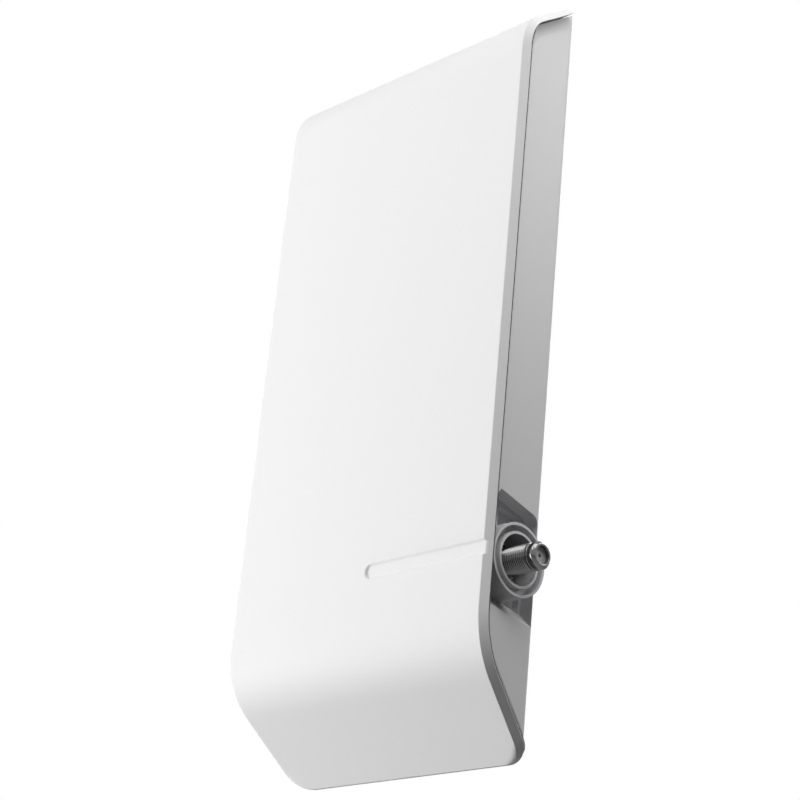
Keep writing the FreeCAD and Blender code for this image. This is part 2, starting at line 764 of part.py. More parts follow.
def add_connector_pocket(housing):
    """A pocket parallel to the drafted side, and in it a boss with two thin rings round the connector's well."""
    cut_body(housing, "pocket_step", make_step_room())
    cut_body(housing, "pocket_recess", make_recess_room())
    groove = f"{BOSS_END} - boss_groove_depth"
    hole = "thread_radius + thread_clearance"
    turn(housing, "connector_boss", [
        (FLANGE_X, hole),
        (FLANGE_X, "boss_radius"),
        (BOSS_END, "boss_radius"),
        (BOSS_END, "boss_radius - boss_ring_wall"),
        (groove, "boss_radius - boss_ring_wall"),
        (groove, "well_radius + boss_ring_wall"),
        (BOSS_END, "well_radius + boss_ring_wall"),
        (BOSS_END, "well_radius"),
        (WELL_X, "well_radius"),
        (WELL_X, hole),
    ])
    for name, start, radius, length in (
        ("connector_well", BOSS_END, "well_radius", "well_depth"),
        ("connector_passage", WELL_X, hole, "2 * well_floor"),
        ("gasket_seat", SEAT_X, "flange_radius + seat_margin", "gasket_wall + 2 * flange_length"),
    ):
        outline = new_sketch(housing, f"{name}_outline", "YZ_Plane", start)
        draw_circle(outline, CONNECTOR_Y, CONNECTOR_Z, radius)
        pocket(housing, name, outline, length)


# Seal, cover screws and bracket inserts
def make_perimeter_seal():
    seal = new_body("perimeter_seal")
    ring = new_sketch(seal, "seal_outline", "XZ_Plane", f"depth - {TRAY_INSET} - seal_groove")
    draw_seal_ring(ring)
    pad(seal, "seal_ring", ring, "cover_gap + seal_groove")
    return seal


def make_screw(name, at, radius, length, head_radius, head, forward):
    """Screw along Y with its head's seat at the given point; forward is the way that its shank goes."""
    shank_way, head_way = ("-y", "+y") if forward else ("+y", "-y")
    shank = rod(f"{name}_shank", shank_way, at, radius, length)
    top = rod(f"{name}_head", head_way, at, head_radius, head)
    return fuse(name, [shank, top])


def make_cover_screws():
    return group("cover_screws", [
        make_screw(
            f"cover_screw_{i}", (across, "-screw_sink", up), "screw_radius",
            "screw_tube_height + screw_grip - screw_sink", "screw_head_radius", "screw_head", True)
        for i, (across, up) in enumerate(SCREW_PLACES, start=1)
    ])


def make_mount_inserts():
    inserts = []
    for i, (across, up) in enumerate(INSERT_PLACES, start=1):
        at = (across, BACK, up)
        sleeve = rod(f"insert_{i}_sleeve", "-y", at, "insert_radius", "insert_length")
        bore = rod(f"insert_{i}_bore", "-y", at, "insert_bore", "insert_length")
        inserts.append(cut(f"insert_{i}", sleeve, [bore]))
    return group("mount_inserts", inserts)


# Coaxial connector: turned barrel, insulator and contact, with the nut, washer and gasket that hold it
def make_connector_body():
    body = new_body("connector_body")
    nose = f"{BARREL_END} - nose_length"
    relief = f"{nose} - relief_length"
    turn(body, "barrel", [
        (CONNECTOR_BACK, "bore_radius"),
        (CONNECTOR_BACK, "flange_radius"),
        (FLANGE_X, "flange_radius"),
        (FLANGE_X, "shank_radius"),
        (THREAD_X, "shank_radius"),
        (THREAD_X, "thread_radius"),
        (relief, "thread_radius"),
        (relief, "thread_radius - relief_depth"),
        (nose, "thread_radius - relief_depth"),
        (nose, "thread_radius"),
        (f"{BARREL_END} - nose_chamfer", "thread_radius"),
        (BARREL_END, "thread_radius - nose_chamfer"),
        (BARREL_END, "bore_radius"),
    ])
    return body


CONTACT_BACK = f"({CONNECTOR_BACK} + insulator_lip)"
INSULATOR_END = f"({BARREL_END} - insulator_recess)"
CONTACT_END = f"({INSULATOR_END} - insulator_lip)"


def make_connector_dielectric():
    body = new_body("connector_dielectric")
    turn(body, "insulator", [
        (CONNECTOR_BACK, "tail_radius"),
        (CONNECTOR_BACK, "bore_radius"),
        (INSULATOR_END, "bore_radius"),
        (INSULATOR_END, "insulator_hole"),
        (CONTACT_END, "insulator_hole"),
        (CONTACT_END, "contact_radius"),
        (CONTACT_BACK, "contact_radius"),
        (CONTACT_BACK, "tail_radius"),
    ])
    return body


def make_connector_contact():
    body = new_body("connector_contact")
    turn(body, "contact", [
        (TAIL_END, "0"),
        (TAIL_END, "tail_radius"),
        (CONTACT_BACK, "tail_radius"),
        (CONTACT_BACK, "contact_radius"),
        (CONTACT_END, "contact_radius"),
        (CONTACT_END, "contact_bore"),
        (f"{CONTACT_END} - contact_bore_depth", "contact_bore"),
        (f"{CONTACT_END} - contact_bore_depth", "0"),
    ])
    return body


def make_connector_ring(name, start, outer, hole, length):
    at = (start, CONNECTOR_Y, CONNECTOR_Z)
    disc = rod(f"{name}_disc", "+x", at, outer, length)
    return cut(name, disc, [rod(f"{name}_hole", "+x", at, hole, length)])


def make_connector_nut():
    at = (f"{WELL_X} + washer_wall", CONNECTOR_Y, CONNECTOR_Z)
    prism = doc.addObject("Part::Prism", "nut_hexagon")
    prism.Polygon = 6
    prism.Placement = FreeCAD.Placement(FreeCAD.Vector(), TURNS["+x"])
    bind(prism, Circumradius="nut_across / sqrt(3)", Height="nut_length", at_x=at[0], at_y=at[1], at_z=at[2])
    return cut("connector_nut", prism, [rod("nut_thread", "+x", at, "shank_radius", "nut_length")])


# Reflector, antenna board, spacers and screws
def make_reflector_plate():
    plate = new_body("reflector_plate")
    edge = REFLECTOR_X
    inside = f"({REFLECTOR_X} - reflector_sheet)"
    fold = f"({SHEET_BACK} - reflector_fold)"
    profile = new_sketch(plate, "reflector_profile", "XY_Plane", "-reflector_bottom")
    draw_outline(profile, [
        (f"-{edge}", SHEET_BACK),
        (edge, SHEET_BACK),
        (edge, fold),
        (inside, fold),
        (inside, SHEET_FRONT),
        (f"-{inside}", SHEET_FRONT),
        (f"-{inside}", fold),
        (f"-{edge}", fold),
    ])
    pad(plate, "reflector_sheet_metal", profile, "reflector_top + reflector_bottom")
    holes = new_sketch(plate, "reflector_holes", "XZ_Plane", f"-{SHEET_BACK}")
    for across, up in POST_PLACES:
        draw_circle(holes, across, up, "post_pin_radius + hole_play")
    for across, up in INSERT_PLACES:
        draw_circle(holes, across, up, "insert_boss_radius + hole_play")
    pocket(plate, "reflector_openings", holes, "2 * reflector_sheet", backwards=True)
    return plate


def make_board(name, low, size, places):
    """Board in the plane of the back, with a clearance hole at each screw."""
    sheet_block = block(f"{name}_blank", low, size)
    holes = [
        rod(f"{name}_hole_{i}", "+y", (across, low[1], up), "board_screw_radius + screw_play", size[1])
        for i, (across, up) in enumerate(places, start=1)
    ]
    return cut(name, sheet_block, holes)


def make_antenna_board():
    low = (f"-{ANTENNA_X}", BOARD_FRONT, "-antenna_bottom")
    size = (f"2 * {ANTENNA_X}", "board_wall", "antenna_top + antenna_bottom")
    return make_board("antenna_board", low, size, POST_PLACES)


def make_amplifier_board():
    low = ("amplifier_left", AMPLIFIER_FRONT, "-amplifier_bottom")
    size = (f"{AMPLIFIER_RIGHT} - amplifier_left", "board_wall", "amplifier_bottom - amplifier_top")
    return make_board("amplifier_board", low, size, AMPLIFIER_PLACES)


def make_board_spacers():
    spacers = []
    for i, (across, up) in enumerate(POST_PLACES, start=1):
        at = (across, SHEET_FRONT, up)
        length = f"{SHEET_FRONT} - {BOARD_BACK}"
        sleeve = rod(f"spacer_{i}_sleeve", "-y", at, "spacer_radius", length)
        bore = rod(f"spacer_{i}_bore", "-y", at, "post_pin_radius + spacer_play", length)
        spacers.append(cut(f"spacer_{i}", sleeve, [bore]))
    return group("board_spacers", spacers)


def make_board_screws():
    places = [(across, BOARD_FRONT, up) for across, up in POST_PLACES]
    places += [(across, AMPLIFIER_FRONT, up) for across, up in AMPLIFIER_PLACES]
    return group("board_screws", [
        make_screw(
            f"board_screw_{i}", at, "board_screw_radius", "board_screw_length + board_wall / 2",
            "board_screw_head_radius", "board_screw_head", False)
        for i, at in enumerate(places, start=1)
    ])


# Dipoles, phasing lines and feed strips
def make_dipole(name, height):
    """Two blades that widen away from the feed gap."""
    blades = new_body(name)
    outline = new_sketch(blades, f"{name}_outline", "XZ_Plane", f"-{BOARD_FRONT}")
    for sign in ("", "-"):
        draw_outline(outline, [
            (f"{sign}dipole_gap / 2", f"{height} - dipole_root / 2"),
            (f"{sign}{DIPOLE_X}", f"{height} - dipole_tip / 2"),
            (f"{sign}{DIPOLE_X}", f"{height} + dipole_tip / 2"),
            (f"{sign}dipole_gap / 2", f"{height} + dipole_root / 2"),
        ])
    pad(blades, f"{name}_foil", outline, "foil")
    return blades


def make_phasing_lines():
    lines = new_body("phasing_lines")
    outline = new_sketch(lines, "line_outline", "XZ_Plane", f"-{BOARD_BACK} - foil")
    for sign in ("", "-"):
        near = f"{sign}(line_column - line_width / 2)"
        far = f"{sign}(line_column + line_width / 2)"
        top = "upper_dipole_height"
        draw_outline(outline, [(near, "-antenna_bottom"), (far, "-antenna_bottom"), (far, top), (near, top)])
    pad(lines, "line_foil", outline, "foil")
    return lines


def make_feed_strips():
    strips = []
    upper = f"({BOARD_BACK} + foil)"
    for name, column in (("feed_strip_right", "line_column"), ("feed_strip_left", "-line_column")):
        strip = new_body(name)
        profile = new_sketch(strip, f"{name}_profile", "YZ_Plane", f"{column} - line_width / 2")
        high = "strip_lap - antenna_bottom"
        knee = "-antenna_bottom - strip_knee"
        low_knee = "strip_knee - amplifier_top"
        low = "-amplifier_top - strip_lap"
        draw_outline(profile, [
            (upper, high),
            (upper, knee),
            (f"{AMPLIFIER_FRONT} - strip_sheet", low_knee),
            (f"{AMPLIFIER_FRONT} - strip_sheet", low),
            (AMPLIFIER_FRONT, low),
            (AMPLIFIER_FRONT, low_knee),
            (f"{upper} + strip_sheet", knee),
            (f"{upper} + strip_sheet", high),
        ])
        pad(strip, f"{name}_sheet", profile, "line_width")
        strips.append(strip)
    return group("feed_strips", strips)


# Amplifier: shield box, chip, coils and balun
SHIELD_FRONT = f"({AMPLIFIER_FRONT} - shield_height)"


def make_shield_frame():
    width = f"({SHIELD_RIGHT} - shield_left)"
    height = "(shield_bottom - shield_top)"
    outer = block("shield_outside", ("shield_left", SHIELD_FRONT, "-shield_bottom"), (width, "shield_height", height))
    inner = block(
        "shield_inside",
        ("shield_left + shield_sheet", SHIELD_FRONT, "shield_sheet - shield_bottom"),
        (f"{width} - 2 * shield_sheet", "shield_height", f"{height} - 2 * shield_sheet"))
    return cut("shield_frame", outer, [inner])


def make_shield_lid():
    grow = "(lid_play + shield_sheet)"
    width = f"({SHIELD_RIGHT} - shield_left)"
    height = "(shield_bottom - shield_top)"
    outer = block(
        "lid_outside",
        (f"shield_left - {grow}", f"{SHIELD_FRONT} - shield_sheet", f"-shield_bottom - {grow}"),
        (f"{width} + 2 * {grow}", "lid_skirt + shield_sheet", f"{height} + 2 * {grow}"))
    inner = block(
        "lid_inside",
        ("shield_left - lid_play", SHIELD_FRONT, "-shield_bottom - lid_play"),
        (f"{width} + 2 * lid_play", "lid_skirt", f"{height} + 2 * lid_play"))
    return cut("shield_lid", outer, [inner])


SHIELD_X = f"((shield_left + {SHIELD_RIGHT}) / 2)"
SHIELD_Z = "((-shield_top - shield_bottom) / 2)"


def make_amplifier_chip():
    low = (f"{SHIELD_X} - chip_side / 2", f"{AMPLIFIER_FRONT} - chip_height", f"{SHIELD_Z} - chip_side / 2")
    return block("amplifier_chip", low, ("chip_side", "chip_height", "chip_side"))


def make_filter_coils():
    coils = []
    for i, step in enumerate(("-1", "0", "1"), start=1):
        at = (
            f"{SHIELD_X} + {step} * coil_spacing",
            f"{AMPLIFIER_FRONT} - coil_radius",
            f"{SHIELD_Z} + coil_spacing",
        )
        outer = rod(f"coil_{i}_outside", "+z", at, "coil_radius", "coil_length")
        inner = rod(f"coil_{i}_inside", "+z", at, "coil_radius - coil_wall", "coil_length")
        coils.append(cut(f"coil_{i}", outer, [inner]))
    return group("filter_coils", coils)


def make_balun_core():
    low_z = "-amplifier_top - strip_lap - 1 - balun_length"
    low = ("-balun_width / 2", f"{AMPLIFIER_FRONT} - balun_height", low_z)
    core = block("balun_block", low, ("balun_width", "balun_height", "balun_length"))
    bores = [
        rod(
            f"balun_bore_{side}", "+z", (across, f"{AMPLIFIER_FRONT} - balun_height / 2", low_z),
            "balun_bore", "balun_length")
        for side, across in (("right", "balun_width / 4"), ("left", "-balun_width / 4"))
    ]
    return cut("balun_core", core, bores)


NODES = [
    make_front_cover(),
    make_rear_housing(),
    make_perimeter_seal(),
    make_cover_screws(),
    make_mount_inserts(),
    make_connector_body(),
    make_connector_dielectric(),
    make_connector_contact(),
    make_connector_ring("connector_gasket", FLANGE_X, "flange_radius", "shank_radius", "gasket_wall"),
    make_connector_ring("connector_washer", WELL_X, "washer_radius", "thread_radius + thread_clearance", "washer_wall"),
    make_connector_nut(),
    make_reflector_plate(),
    make_antenna_board(),
    make_board_spacers(),
    make_board_screws(),
    make_dipole("upper_dipole", "upper_dipole_height"),
    make_dipole("lower_dipole", "lower_dipole_height"),
    make_phasing_lines(),
    make_feed_strips(),
    make_amplifier_board(),
    make_shield_frame(),
    make_shield_lid(),
    make_amplifier_chip(),
    make_filter_coils(),
    make_balun_core(),
]


# Checks, and one file for each sub-part
def write_nodes():
    doc.recompute()
    failed = [thing.Name for thing in doc.Objects if {"Invalid", "Error"} & set(thing.State)]
    if failed:
        raise RuntimeError(f"objects that failed: {failed}")
    os.makedirs("parts", exist_ok=True)
    for node in NODES:
        if node.Shape.isNull() or not node.Shape.isValid():
            raise RuntimeError(f"{node.Label} has no valid shape")
        node.Shape.exportStep(f"parts/{node.Label}.step")
        box = node.Shape.BoundBox
        print(f"{node.Label}: {len(node.Shape.Solids)} solids, {node.Shape.Volume:.1f} mm3,", box)


write_nodes()
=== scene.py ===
# %% [markdown]
# # A flat-panel outdoor antenna, dressed for its portrait
#
# The imported model is the fixed frame: every solid of the antenna is already in place, in metres, with the
# origin on the flat back, +Z up and the front facing -Y. This lesson adds what the solids leave plain:
# the crisp lip of the cover, dark strips of painted shade in the gap beside it, a cut thread on the
# connector, and finishes for plastic, metal, copper and rubber. It ends with light and a camera.

# %% Load the frame
import json
import math

import bpy
import numpy as np
from mathutils import Matrix, Vector


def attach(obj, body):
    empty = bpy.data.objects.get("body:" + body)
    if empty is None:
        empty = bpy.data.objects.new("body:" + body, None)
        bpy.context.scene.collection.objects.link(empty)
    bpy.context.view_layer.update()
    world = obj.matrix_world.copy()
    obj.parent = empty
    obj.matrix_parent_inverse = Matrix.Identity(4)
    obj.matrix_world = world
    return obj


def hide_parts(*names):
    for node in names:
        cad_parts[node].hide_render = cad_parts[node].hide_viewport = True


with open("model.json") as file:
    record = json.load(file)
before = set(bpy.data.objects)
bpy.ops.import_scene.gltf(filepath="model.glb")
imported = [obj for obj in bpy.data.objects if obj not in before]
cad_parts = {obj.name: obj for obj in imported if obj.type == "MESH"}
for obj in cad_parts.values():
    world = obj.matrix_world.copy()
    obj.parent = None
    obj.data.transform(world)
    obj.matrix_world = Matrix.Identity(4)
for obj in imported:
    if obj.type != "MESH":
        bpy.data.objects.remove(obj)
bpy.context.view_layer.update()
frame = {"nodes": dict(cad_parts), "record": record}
BODY = "root"
MM = 0.001

# %% [markdown]
# ## Turning arrays into pieces
#
# Each new piece is a grid of points, worked out as one array. A grid that closes on itself in one
# direction makes a tube, and quads join each point to its neighbours. The points go into the mesh in one
# call, so no loop runs over vertices. Every piece stays at the origin with its place in its points, and
# rides on the one body of the antenna.


# %% Mesh helpers
def grid_quads(rows, columns, wrap=False, close=False):
    """Quads of a grid whose points are stored row by row.

    With wrap, the last column joins the first; with close, the last row joins the first.
    """
    row = np.arange(rows if close else rows - 1)[:, None]
    column = np.arange(columns if wrap else columns - 1)[None, :]
    below = (row + 1) % rows
    after = (column + 1) % columns
    corners = (
        row * columns + column,
        row * columns + after,
        below * columns + after,
        below * columns + column,
    )
    return np.stack(corners, axis=-1).reshape(-1, 4)


def new_piece(name, points, quads, replaced):
    """Smooth mesh object from an array of points and one of quads, riding on the antenna."""
    mesh = bpy.data.meshes.new(name)
    mesh.from_pydata(points.reshape(-1, 3), [], quads.tolist())
    mesh.shade_smooth()
    mesh.update()
    piece = bpy.data.objects.new(name, mesh)
    bpy.context.scene.collection.objects.link(piece)
    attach(piece, BODY)
    if replaced:
        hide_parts(*replaced)
    print(name, "has", len(mesh.polygons), "faces")
    return piece


# %% [markdown]
# ## The cover
#
# On the real antenna the cover is one bent sheet of gloss plastic: a chin, a flat front and a sloping
# top, with a narrow crisp lip all the way round. A box with bevels would pinch where the bends meet it.
# Here the sheet is unrolled instead: one parameter runs across it, the other along its bent profile. How
# far a point sinks below the skin depends on its distance from the outline, so the lip follows the
# corners too. It is wider along the sides than at the two ends, and passes smoothly from one width to the
# other.

# %% Sizes of the bent sheet
DEPTH = 35.4 * MM
HALF_WIDTH = 62.0 * MM
SIDE_LEAN = math.tan(math.radians(11.6))
WALL = 2.2 * MM
SIDE_LIP = 2.2 * MM
SIDE_FALL = 2.3 * MM
END_LIP = 1.5 * MM
END_FALL = 2.05 * MM
LIP_SOFTNESS = 1.05
LIP_EDGE = 0.15 * MM
LIP_BACK_SLOPE = 0.6
CHIN_BEND = 113.0 * MM
CHIN_RADIUS = 30.0 * MM
CHIN_TURN = math.radians(90 - 42.3)
CHIN_CORNER = 9.5 * MM
TOP_BEND = 119.7 * MM
TOP_RADIUS = 20.0 * MM
TOP_TURN = math.radians(90 - 38.0)
TOP_CORNER = 3.0 * MM
TOP_END_Y = -4.9 * MM
CHIN_END_Y = -WALL * math.cos(CHIN_TURN)
GROOVE_Z = -80.0 * MM
GROOVE_START = 5.3 * MM
GROOVE_HALF = 2.9 * MM
GROOVE_DEPTH = 0.7 * MM
GROOVE_SLOPE = 0.9 * MM

FLAT_LOW = CHIN_RADIUS * math.tan(CHIN_TURN / 2) - CHIN_BEND
FLAT_HIGH = TOP_BEND - TOP_RADIUS * math.tan(TOP_TURN / 2)


def flap_length(radius, turn, end_y):
    """Straight run from the end of a bend to a depth."""
    return (end_y + DEPTH - radius * (1 - math.cos(turn))) / math.sin(turn)


CHIN_FLAP = flap_length(CHIN_RADIUS, CHIN_TURN, CHIN_END_Y)
TOP_FLAP = flap_length(TOP_RADIUS, TOP_TURN, TOP_END_Y)
SHEET_LOW = FLAT_LOW - CHIN_RADIUS * CHIN_TURN - CHIN_FLAP
SHEET_HIGH = FLAT_HIGH + TOP_RADIUS * TOP_TURN + TOP_FLAP
print("the sheet unrolls to", round(SHEET_HIGH - SHEET_LOW, 4), "m")


# %% The bent profile
def bent_profile(along):
    """Depth, height and outward normal of the skin at a length along the sheet.

    Past the flat, a point goes round the bend by length / radius and then straight on along the flap.
    """
    lower = along < 0
    over = np.where(lower, FLAT_LOW - along, along - FLAT_HIGH).clip(0)
    radius = np.where(lower, CHIN_RADIUS, TOP_RADIUS)
    full_turn = np.where(lower, CHIN_TURN, TOP_TURN)
    turn = np.minimum(over / radius, full_turn)
    straight = (over - radius * full_turn).clip(0)
    back = radius * (1 - np.cos(turn)) + straight * np.sin(turn)
    rise = radius * np.sin(turn) + straight * np.cos(turn)
    sign = np.where(lower, -1.0, 1.0)
    flat = np.clip(along, FLAT_LOW, FLAT_HIGH)
    return -DEPTH + back, flat + sign * rise, -np.cos(turn), sign * np.sin(turn)


def corner_of(along):
    return np.where(along < 0, CHIN_CORNER, TOP_CORNER)


def to_end(along):
    """Distance along the sheet to the nearer end."""
    return np.minimum(along - SHEET_LOW, SHEET_HIGH - along)


def to_outline(across, along):
    """Distance to the sheet's outline: to the nearer edge, or inside a corner to its arc."""
    depth, _, _, _ = bent_profile(along)
    side = HALF_WIDTH - SIDE_LEAN * (depth + DEPTH) - np.abs(across)
    end = to_end(along)
    radius = corner_of(along)
    arc = radius - np.hypot((radius - side).clip(0), (radius - end).clip(0))
    return np.where((side < radius) & (end < radius), arc, np.minimum(side, end)).clip(0)


def along_side(along, end_size, side_size):
    """A size that is full along the sides and passes smoothly to another at both ends of the sheet."""
    share = (to_end(along) / CHIN_CORNER).clip(0, 1)
    return end_size + (side_size - end_size) * share**2 * (3 - 2 * share)


def lip_width(along):
    return along_side(along, END_LIP, SIDE_LIP)


def lip_fall(along):
    return along_side(along, END_FALL, SIDE_FALL)


def lip_drop(across, along):
    """How far the skin sinks near the outline: a bevel that leaves the front softly."""
    return lip_fall(along) * (1 - to_outline(across, along) / lip_width(along)).clip(0) ** LIP_SOFTNESS


def groove_drop(across, along):
    """Depth of the pill-shaped groove: full inside its outline, with a smooth slope at its wall."""
    beyond = (GROOVE_START + GROOVE_HALF - across).clip(0)
    wall = GROOVE_HALF - np.hypot(beyond, along - GROOVE_Z)
    share = (wall / GROOVE_SLOPE).clip(0, 1)
    return GROOVE_DEPTH * share**2 * (3 - 2 * share)


# %% Where the grid lines run
lip_shares = np.array([0.0, 0.06, 0.35, 0.65, 0.92, 1.0, 1.08])


def graded(*knots):
    """One rising array through several (start, end, count) stretches."""
    return np.unique(np.concatenate([np.linspace(*knot) for knot in knots]).round(7))


GROOVE_LOW = GROOVE_Z - GROOVE_HALF
GROOVE_HIGH = GROOVE_Z + GROOVE_HALF
CHIN_ARC_ROWS = CHIN_CORNER * (1 - np.cos(np.linspace(0, math.pi / 2, 22)))
TOP_ARC_ROWS = TOP_CORNER * (1 - np.cos(np.linspace(0, math.pi / 2, 10)))
along_lines = np.unique(np.concatenate([
    SHEET_LOW + END_LIP * lip_shares,
    SHEET_LOW + CHIN_ARC_ROWS,
    SHEET_HIGH - END_LIP * lip_shares,
    SHEET_HIGH - TOP_ARC_ROWS,
    graded(
        (SHEET_LOW + CHIN_CORNER, FLAT_LOW - CHIN_RADIUS * CHIN_TURN, 10),
        (FLAT_LOW - CHIN_RADIUS * CHIN_TURN, FLAT_LOW, 22),
        (FLAT_LOW, GROOVE_LOW, 8),
        (GROOVE_LOW, GROOVE_LOW + GROOVE_SLOPE, 8),
        (GROOVE_LOW + GROOVE_SLOPE, GROOVE_HIGH - GROOVE_SLOPE, 10),
        (GROOVE_HIGH - GROOVE_SLOPE, GROOVE_HIGH, 8),
        (GROOVE_HIGH, FLAT_HIGH, 26),
        (FLAT_HIGH, FLAT_HIGH + TOP_RADIUS * TOP_TURN, 20),
        (FLAT_HIGH + TOP_RADIUS * TOP_TURN, SHEET_HIGH - TOP_CORNER, 8),
    ),
]).round(7))

groove_share = GROOVE_START / HALF_WIDTH
groove_from = groove_share - 0.02
groove_to = groove_share + 0.07
across_shares = graded(
    (-1.0, groove_from, 26),
    (groove_from, groove_to, 30),
    (groove_to, 1.0, 26),
)
print("grid lines along:", len(along_lines), "across:", len(across_shares) + 2 * len(lip_shares) - 2)


# %% Build the cover
def half_width(along):
    """Half of the sheet's width: the sides lean in with depth, and an arc rounds each corner."""
    depth, _, _, _ = bent_profile(along)
    radius = corner_of(along)
    inside = np.clip(radius - to_end(along), 0, radius)
    return HALF_WIDTH - SIDE_LEAN * (depth + DEPTH) - radius + np.sqrt(radius**2 - inside**2)


def sheet_points(drop):
    """Points of the grid, sunk below the skin by a function of across and along."""
    half = half_width(along_lines)
    width = lip_width(along_lines)
    middle = across_shares[None, :] * (half - width * lip_shares[-1])[:, None]
    lip = half[:, None] - width[:, None] * lip_shares[None, :-1]
    across = np.concatenate([-lip, middle, lip[:, ::-1]], axis=1)
    along = np.broadcast_to(along_lines[:, None], across.shape)
    y, z, normal_y, normal_z = bent_profile(along)
    sunk = drop(across, along)
    return np.stack([across, y - sunk * normal_y, z - sunk * normal_z], axis=-1)


def skin_drop(across, along):
    """The groove notches the lip's upper edge and leaves its outer face whole."""
    return np.maximum(lip_drop(across, along), groove_drop(across, along))


def back_drop(across, along):
    """Inside of the sheet: one wall deep, and turned down behind the lip."""
    turned = lip_fall(along) + LIP_EDGE - LIP_BACK_SLOPE * to_outline(across, along)
    return np.maximum(WALL, turned)


def rim_loop(rows, columns):
    """Indices of the grid's border, in order."""
    index = np.arange(rows * columns).reshape(rows, columns)
    return np.concatenate([index[0, :-1], index[:-1, -1], index[-1, :0:-1], index[:0:-1, 0]])


skin = sheet_points(skin_drop)
back = sheet_points(back_drop)
rows, columns = skin.shape[:2]
face_quads = grid_quads(rows, columns)
loop = rim_loop(rows, columns)
after = np.roll(loop, -1)
rim_quads = np.stack([loop, loop + rows * columns, after + rows * columns, after], axis=-1)
cover = new_piece(
    "cover_sheet",
    np.concatenate([skin.reshape(-1, 3), back.reshape(-1, 3)]),
    np.concatenate([face_quads, face_quads[:, ::-1] + rows * columns, rim_quads]),
    ["front_cover"],
)

# %% [markdown]
# ## Dark strips of painted shade in the gap
#
# Between the cover's lip and the housing a thin dark line of shade runs along both sides. It is painted
# shade: each line is a strip in the black rubber finish, four points round and tapered at both ends, put
# where the gap's shadow falls. A line drawn on a surface would vanish from the side, so the strips are
# real geometry. They follow the bent profile just behind the lip, from the chin's corner to the top's
# bend, and stand taller at the chin's corner, where that shade is deepest.

# %% Build the strips of painted shade
SHADE_STRIP_INSET = 0.25 * MM
SHADE_STRIP_WIDTH = 1.4 * MM
SHADE_STRIP_HEIGHT = 0.7 * MM
SHADE_STRIP_CORNER_HEIGHT = 1.4 * MM
SHADE_STRIP_GAP = 0.05 * MM
SHADE_STRIP_LOW = SHEET_LOW + 0.25 * CHIN_CORNER
SHADE_STRIP_HIGH = FLAT_HIGH + 0.7 * TOP_RADIUS * TOP_TURN
gap_shade_lines = graded(
    (SHADE_STRIP_LOW, SHEET_LOW + CHIN_CORNER, 16),
    (SHEET_LOW + CHIN_CORNER, FLAT_LOW - CHIN_RADIUS * CHIN_TURN, 8),
    (FLAT_LOW - CHIN_RADIUS * CHIN_TURN, FLAT_LOW, 18),
    (FLAT_LOW, FLAT_HIGH, 30),
    (FLAT_HIGH, SHADE_STRIP_HIGH, 12),
)
SHADE_STRIP_ROWS = len(gap_shade_lines)
SHADE_STRIP_SIDES = 4
SHADE_STRIP_TAPER = 4
SHADE_STRIP_TIP = 0.08


def gap_shade_points(side):
    """Strip of painted shade in the gap: four points round at each row, right side for 1 and left for -1."""
    y, z, normal_y, normal_z = bent_profile(gap_shade_lines)
    step = np.arange(SHADE_STRIP_ROWS)
    share = (np.minimum(step, step[::-1]) / SHADE_STRIP_TAPER).clip(SHADE_STRIP_TIP, 1)[:, None]
    inset = SHADE_STRIP_INSET + SHADE_STRIP_WIDTH * share * np.array([0, 0, 1, 1])
    # Painted shade: the strip stands taller towards the chin's corner, where the corner's shadow is darkest.
    height = along_side(gap_shade_lines, SHADE_STRIP_CORNER_HEIGHT, SHADE_STRIP_HEIGHT)[:, None] * share
    sunk = (lip_fall(gap_shade_lines) + LIP_EDGE + SHADE_STRIP_GAP)[:, None] + height * np.array([0, 1, 1, 0])
    half = half_width(gap_shade_lines)[:, None]
    strip_x = side * (half - inset)
    strip_y = y[:, None] - sunk * normal_y[:, None]
    strip_z = z[:, None] - sunk * normal_z[:, None]
    return np.stack([strip_x, strip_y, strip_z], axis=-1)


first_cap = np.arange(SHADE_STRIP_SIDES)[::-1]
last_cap = SHADE_STRIP_SIDES * (SHADE_STRIP_ROWS - 1) + np.arange(SHADE_STRIP_SIDES)
gap_shade_quads = np.concatenate([grid_quads(SHADE_STRIP_ROWS, SHADE_STRIP_SIDES, wrap=True), [first_cap, last_cap]])
# Both strips are painted shade, standing in for the shadow in the gap between cover and housing.
gap_shade_strips = [
    new_piece("gap_shade_strip_right", gap_shade_points(1), gap_shade_quads, []),
    new_piece("gap_shade_strip_left", gap_shade_points(-1), gap_shade_quads[:, ::-1], []),
]

# %% [markdown]
# ## The threaded barrel
#
# The coaxial connector has a fine thread with rounded crests, cut as one helix. A stack of rings would
# look right from the side but has no start. The surface here is a turned profile whose radius also falls
# and rises with the angle: crest where the turn and the length agree, root half a pitch away, fading out
# at both ends.

# %% Sizes of the connector
CONNECTOR_Y = -19.2 * MM
CONNECTOR_Z = -80.0 * MM
THREAD_PITCH = 25.4 / 32 * MM
THREAD_RADIUS = 4.7625 * MM
THREAD_LEAST_RADIUS = 4.7 * MM
THREAD_DEPTH = 0.5 * MM
THREAD_FADE = 0.8 * MM
THREAD_ROUNDING = 0.8
THREAD_START = 54.5 * MM
THREAD_END = 67.4 * MM
THREAD_RINGS = 150
TURN_STEPS = 96
CORNER_RUN = 0.06 * MM
CORNER_MOST = 0.3
RUN_OUT = 0.1 * MM


